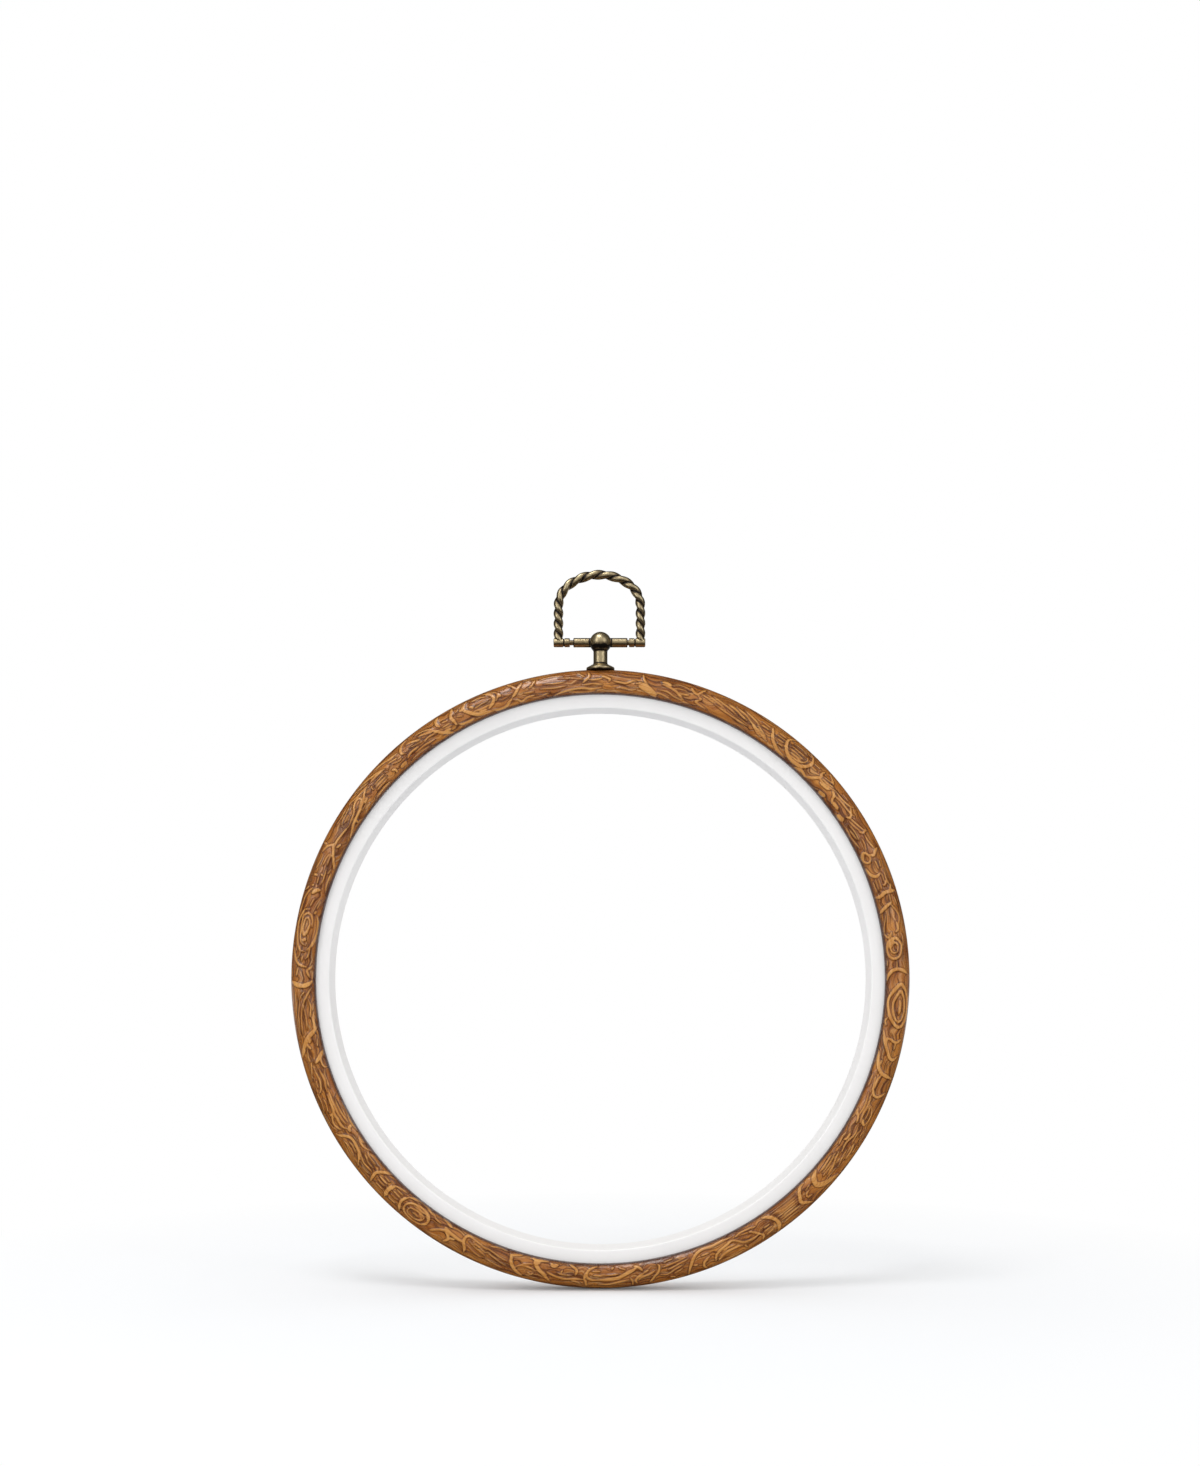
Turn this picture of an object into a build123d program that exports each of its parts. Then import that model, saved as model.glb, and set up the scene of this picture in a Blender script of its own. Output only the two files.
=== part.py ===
"""Frame embroidery hoop with a small brass hanger, in millimetres.

A flexible vinyl ring grips a rigid plastic ring, and a bail on a swivelling post hangs the hoop on a wall. The hoop
hangs upright: X runs across it, +Y is its back and +Z is up. The origin is where a nail holds it, at the inside of the
bail's crown.
"""

import math
import os

from build123d import *

os.makedirs("parts", exist_ok=True)

# One overrun serves every cut that has to break through a surface
cut_overrun = 1.0

# Outer ring, a soft vinyl moulding with a half-round outside and a plain seat inside
hoop_diameter = 180.0
outer_ring_depth = 11.0
seat_wall = 6.75
lip_overlap = 1.0
lip_thickness = 2.4
lip_edge_radius = 2.2
shoulder_radius_share = 0.455
back_edge_radius = 0.4

# Inner ring, rigid plastic, pushed in from the back up to the lip
ring_fit_clearance = 0.15
inner_ring_wall = 4.7
inner_ring_draft_angle = 3.5
inner_ring_edge_radius = 0.5

# Hanger post: foot flange, neck and ball in one turning
foot_diameter = 8.2
foot_thickness = 2.0
foot_rim_height = 0.9
foot_rim_radius = 0.3
foot_sink = 0.4
foot_seat_clearance = 0.15
neck_diameter = 4.1
neck_fillet_radius = 0.7
ball_diameter = 6.3
ball_height = 7.85

# Crossbar, a tube pressed through the ball
crossbar_diameter = 2.7
crossbar_bore = 1.6
crossbar_edge_radius = 0.25

# Bail: a cast rope of two twisted strands, with plain feet, collars and pivots
bail_width = 26.7
bail_height = 21.2
leg_height = 10.5
rope_diameter = 2.85
rope_groove_depth = 0.45
leg_lay_length = 5.9
crown_lay_length = 8.8
arch_side_radius_share = 1.455
bail_foot_diameter = 2.6
bail_foot_edge_radius = 0.35
rope_start_share = 0.45
collar_diameter = 2.6
collar_width = 1.6
collar_edge_radius = 0.18
collar_gap = 0.3
collar_neck_diameter = 2.1
pivot_length = 3.0
pivot_clearance = 0.05
bail_end_play = 0.73
bail_side_shift_share = 0.4
rope_sections = 120

# Hanger screw and its washer, in a pocket behind the inner ring
screw_diameter = 2.0
screw_head_diameter = 4.0
screw_head_height = 1.5
screw_head_edge_radius = 0.4
screw_engagement = 4.0
screw_hole_clearance = 0.1
screw_tip_gap = 0.5
thread_clearance = 0.02
screw_head_recess = 0.3
driver_slot_width = 0.5
driver_slot_depth = 0.7
washer_diameter = 5.0
washer_thickness = 0.4
pocket_clearance = 0.3

# Radii and depths of the two rings, measured from the hoop's axis and its middle plane
hoop_radius = hoop_diameter / 2
seat_radius = hoop_radius - seat_wall
lip_radius = seat_radius - lip_overlap
front_face = -outer_ring_depth / 2
back_face = outer_ring_depth / 2
lip_back = front_face + lip_thickness
shoulder_radius = shoulder_radius_share * outer_ring_depth
inner_ring_outside = seat_radius - ring_fit_clearance
inner_ring_mouth = inner_ring_outside - inner_ring_wall
inner_ring_draft = (back_face - lip_back) * math.tan(math.radians(inner_ring_draft_angle))

# Heights, from the inside of the bail's crown down to the pocket in the seat
ball_centre = rope_diameter - bail_height
hoop_top = ball_centre - ball_height
hoop_centre = hoop_top - hoop_radius
foot_floor = hoop_top - foot_sink
seat_top = hoop_centre + seat_radius
pocket_floor = seat_top + screw_head_recess + screw_head_height + washer_thickness
head_underside = pocket_floor - washer_thickness
screw_tip = foot_floor + screw_engagement

# The hoop's axis, and a plane through it whose first direction runs to the back and whose second runs outward
hoop_axis = Axis((0, 0, hoop_centre), (0, 1, 0))
ring_section = Plane(origin=(0, 0, hoop_centre), x_dir=(0, 1, 0), z_dir=(1, 0, 0))

# Outer ring
with BuildPart() as outer_ring:
    with BuildSketch(ring_section):
        with BuildLine():
            FilletPolyline(
                (front_face, lip_radius),
                (front_face, hoop_radius),
                (back_face, hoop_radius),
                (back_face, seat_radius),
                (lip_back, seat_radius),
                (lip_back, lip_radius),
                radius=(lip_edge_radius, shoulder_radius, shoulder_radius, back_edge_radius, 0, 0),
                close=True,
            )
        make_face()
    revolve(axis=hoop_axis)
    with BuildSketch(Plane.XY.offset(foot_floor)):
        Circle(foot_diameter / 2 + foot_seat_clearance)
    extrude(amount=foot_sink + cut_overrun, mode=Mode.SUBTRACT)
    with BuildSketch(Plane.XY.offset(pocket_floor)):
        Circle(washer_diameter / 2 + pocket_clearance)
    extrude(amount=-(pocket_floor - seat_top + cut_overrun), mode=Mode.SUBTRACT)
    with BuildSketch(Plane.XY.offset(pocket_floor - cut_overrun)):
        Circle(screw_diameter / 2 + screw_hole_clearance)
    extrude(amount=foot_floor - pocket_floor + 2 * cut_overrun, mode=Mode.SUBTRACT)
outer_ring.part.label = "outer_ring"
export_step(outer_ring.part, "parts/outer_ring.step")

# Inner ring, its bore narrowing towards the back by the mould's draft
with BuildPart() as inner_ring:
    with BuildSketch(ring_section):
        with BuildLine():
            FilletPolyline(
                (lip_back, inner_ring_mouth),
                (lip_back, inner_ring_outside),
                (back_face, inner_ring_outside),
                (back_face, inner_ring_mouth - inner_ring_draft),
                radius=inner_ring_edge_radius,
                close=True,
            )
        make_face()
    revolve(axis=hoop_axis)
inner_ring.part.label = "inner_ring"
export_step(inner_ring.part, "parts/inner_ring.step")

# Hanger post, turned about the upright axis, then cross-drilled for the crossbar and drilled from below
foot_radius = foot_diameter / 2
neck_radius = neck_diameter / 2
ball_radius = ball_diameter / 2
foot_top = foot_floor + foot_thickness
foot_rim_top = foot_floor + foot_rim_height
neck_top = ball_centre - math.sqrt(ball_radius**2 - neck_radius**2)
with BuildPart() as hanger_post:
    with BuildSketch(Plane.XZ):
        with BuildLine():
            Polyline((0, ball_centre), (0, foot_floor), (foot_radius, foot_floor), (foot_radius, foot_rim_top))
            Polyline((foot_radius, foot_rim_top), (neck_radius, foot_top), (neck_radius, neck_top))
            Line((neck_radius, neck_top), (0, ball_centre))
        make_face()
    revolve(axis=Axis.Z)
    rim_edges = hanger_post.edges().filter_by(GeomType.CIRCLE).sort_by(SortBy.RADIUS)[-2:]
    fillet(rim_edges, radius=foot_rim_radius)
    with Locations((0, 0, ball_centre)):
        Sphere(ball_radius)
    neck_rings = hanger_post.edges().filter_by(GeomType.CIRCLE).filter_by_position(Axis.Z, foot_rim_top, ball_centre)
    fillet(neck_rings.filter_by(lambda ring: math.isclose(ring.radius, neck_radius)), radius=neck_fillet_radius)
    with BuildSketch(Plane.YZ.offset(-ball_radius)):
        with Locations((0, ball_centre)):
            Circle(crossbar_diameter / 2)
    extrude(amount=ball_diameter, mode=Mode.SUBTRACT)
    with BuildSketch(Plane.XY.offset(foot_floor)):
        Circle(screw_diameter / 2 + thread_clearance)
    extrude(amount=screw_engagement + screw_tip_gap, mode=Mode.SUBTRACT)
hanger_post.part.label = "hanger_post"
export_step(hanger_post.part, "parts/hanger_post.step")

# Crossbar, as long as the bail leaves between its collars, less the play at both ends
bail_half_width = bail_width / 2
leg_inside = bail_half_width - rope_diameter
collar_outside = leg_inside - collar_gap
collar_inside = collar_outside - collar_width
crossbar_length = 2 * (collar_inside - bail_end_play)
with BuildPart() as crossbar:
    with BuildSketch(Plane.YZ.offset(-crossbar_length / 2)):
        with Locations((0, ball_centre)):
            Circle(crossbar_diameter / 2)
            Circle(crossbar_bore / 2, mode=Mode.SUBTRACT)
    extrude(amount=crossbar_length)
    tube_ends = crossbar.edges().filter_by(GeomType.CIRCLE).sort_by(SortBy.RADIUS)[-2:]
    fillet(tube_ends, radius=crossbar_edge_radius)
crossbar.part.label = "crossbar"
export_step(crossbar.part, "parts/crossbar.step")

# Centreline of the bail's rope: two legs and an arch of three arcs, which meet without a corner. The side arcs'
# radius is the half width less a share of what the arch lacks of a half circle's rise, so a tall arch is pointed.
bail_shift = -bail_side_shift_share * bail_end_play
rope_radius = rope_diameter / 2
leg_centre = bail_half_width - rope_radius
crown_height = bail_height - rope_radius
arch_rise = crown_height - leg_height
arch_flatness = leg_centre - arch_rise
side_centre = arch_side_radius_share * arch_flatness
arch_side_radius = leg_centre - side_centre
crown_centre_share = (2 * arch_side_radius_share - 1) / (2 * arch_side_radius_share - 2)
arch_angle = math.atan2(crown_centre_share, arch_side_radius_share)
joint_across = side_centre + arch_side_radius * math.cos(arch_angle)
joint_height = leg_height + arch_side_radius * math.sin(arch_angle)
side_across = side_centre + arch_side_radius * math.cos(arch_angle / 2)
side_height = leg_height + arch_side_radius * math.sin(arch_angle / 2)
rope_start = rope_start_share * bail_foot_diameter / 2
bail_plane = Plane(origin=(bail_shift, 0, ball_centre), x_dir=(1, 0, 0), z_dir=(0, -1, 0))
with BuildLine(bail_plane) as rope_line:
    Line((leg_centre, rope_start), (leg_centre, leg_height))
    ThreePointArc((leg_centre, leg_height), (side_across, side_height), (joint_across, joint_height))
    ThreePointArc((joint_across, joint_height), (0, crown_height), (-joint_across, joint_height))
    ThreePointArc((-joint_across, joint_height), (-side_across, side_height), (-leg_centre, leg_height))
    Line((-leg_centre, leg_height), (-leg_centre, rope_start))
rope_path = rope_line.wire()

# The lay lengthens from the legs to the crown. A groove faces the front at the crown, and the lay is left-handed.
twist_angles = [0.0]
for section in range(rope_sections):
    height = (rope_path @ ((section + 0.5) / rope_sections)).Z - ball_centre
    rise_share = max(height - leg_height, 0) / arch_rise
    lay_length = leg_lay_length + rise_share * (crown_lay_length - leg_lay_length)
    twist_angles.append(twist_angles[-1] - 360 * rope_path.length / rope_sections / lay_length)
crown_angle = twist_angles[rope_sections // 2]

# Bail: its foot, collar and pivot are turned about the pivot axis at each side
groove_radius = rope_radius - rope_groove_depth
pivot_radius = crossbar_bore / 2 - pivot_clearance
foot_end = bail_half_width
with BuildPart() as bail:
    for section, twist_angle in enumerate(twist_angles):
        place = section / rope_sections
        across_rope = Plane(origin=rope_path @ place, x_dir=(0, 1, 0), z_dir=rope_path % place)
        with BuildSketch(across_rope.rotated((0, 0, twist_angle - crown_angle))):
            with BuildLine():
                ThreePointArc((groove_radius, 0), (0, rope_radius), (-groove_radius, 0))
                ThreePointArc((-groove_radius, 0), (0, -rope_radius), (groove_radius, 0))
            make_face()
    loft(ruled=True)
    for side in (-1, 1):
        foot_plane = Plane(origin=(bail_shift, 0, ball_centre), x_dir=(side, 0, 0), z_dir=(0, -side, 0))
        with BuildSketch(foot_plane):
            with BuildLine():
                FilletPolyline(
                    (collar_inside - bail_end_play - pivot_length, 0),
                    (collar_inside - bail_end_play - pivot_length, pivot_radius),
                    (collar_inside, pivot_radius),
                    (collar_inside, collar_diameter / 2),
                    (collar_outside, collar_diameter / 2),
                    (collar_outside, collar_neck_diameter / 2),
                    (leg_inside, collar_neck_diameter / 2),
                    (leg_inside, bail_foot_diameter / 2),
                    (foot_end, bail_foot_diameter / 2),
                    (foot_end, 0),
                    radius=(0, 0, collar_edge_radius, collar_edge_radius, 0, 0, 0, bail_foot_edge_radius),
                )
                Line((foot_end, 0), (collar_inside - bail_end_play - pivot_length, 0))
            make_face()
        revolve(axis=Axis((0, 0, ball_centre), (1, 0, 0)))
bail.part.label = "bail"
export_step(bail.part, "parts/bail.step")

# Hanger screw, head down in the seat's pocket, its shank up through the vinyl into the post
with BuildPart() as hanger_screw:
    with BuildSketch(Plane.XY.offset(head_underside - screw_head_height)):
        Circle(screw_head_diameter / 2)
    extrude(amount=screw_head_height)
    fillet(hanger_screw.edges().sort_by(Axis.Z)[0], radius=screw_head_edge_radius)
    with BuildSketch(Plane.XY.offset(head_underside)):
        Circle(screw_diameter / 2)
    extrude(amount=screw_tip - head_underside)
    for turn in (0, 90):
        with BuildSketch(Plane.XY.offset(head_underside - screw_head_height)):
            Rectangle(screw_diameter, driver_slot_width, rotation=turn)
        extrude(amount=driver_slot_depth, mode=Mode.SUBTRACT)
hanger_screw.part.label = "hanger_screw"
export_step(hanger_screw.part, "parts/hanger_screw.step")

# Washer between the screw's head and the vinyl
with BuildPart() as screw_washer:
    with BuildSketch(Plane.XY.offset(head_underside)):
        Circle(washer_diameter / 2)
        Circle(screw_diameter / 2 + screw_hole_clearance, mode=Mode.SUBTRACT)
    extrude(amount=washer_thickness)
screw_washer.part.label = "screw_washer"
export_step(screw_washer.part, "parts/screw_washer.step")
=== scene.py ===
"""Frame embroidery hoop: the look of its wood-grain vinyl ring, white plastic ring and antique-brass hanger."""

import math

import bmesh
import bpy
import numpy as np
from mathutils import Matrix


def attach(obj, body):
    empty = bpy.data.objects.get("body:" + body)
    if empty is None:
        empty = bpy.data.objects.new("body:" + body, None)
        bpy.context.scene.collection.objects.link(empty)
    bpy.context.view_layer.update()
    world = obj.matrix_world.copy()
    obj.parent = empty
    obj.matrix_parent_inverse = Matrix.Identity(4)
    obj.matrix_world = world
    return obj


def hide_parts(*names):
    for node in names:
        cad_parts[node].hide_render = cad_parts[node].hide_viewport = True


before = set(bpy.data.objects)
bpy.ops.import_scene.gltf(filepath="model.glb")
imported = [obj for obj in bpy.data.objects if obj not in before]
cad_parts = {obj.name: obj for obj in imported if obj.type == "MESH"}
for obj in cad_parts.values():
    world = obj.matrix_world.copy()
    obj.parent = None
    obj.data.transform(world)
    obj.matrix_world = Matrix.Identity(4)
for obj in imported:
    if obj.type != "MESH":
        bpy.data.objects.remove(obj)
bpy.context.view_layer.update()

mm = 0.001

# Sizes of the solids, in millimetres. The hoop hangs from the origin, so its heights are negative
hoop_radius, half_depth, seat_radius, lip_radius = 90.0, 5.5, 83.25, 82.25
lip_back, lip_edge_radius, shoulder_radius, back_edge_radius = -3.1, 2.2, 5.005, 0.4
inner_outside, inner_mouth, inner_back_bore, inner_edge_radius = 83.1, 78.4, 77.874, 0.5
pivot_height, crown_top, foot_floor, hoop_centre = -18.35, -26.2, -26.6, -116.2
foot_radius, foot_top, foot_rim_top, neck_radius, ball_radius = 4.1, -24.6, -25.7, 2.05, 3.15
crossbar_radius, crossbar_half, crossbar_bore_radius, crossbar_edge_radius = 1.35, 7.87, 0.8, 0.25
pocket_floor, pocket_radius, screw_hole_radius = -30.75, 2.8, 1.1


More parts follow.
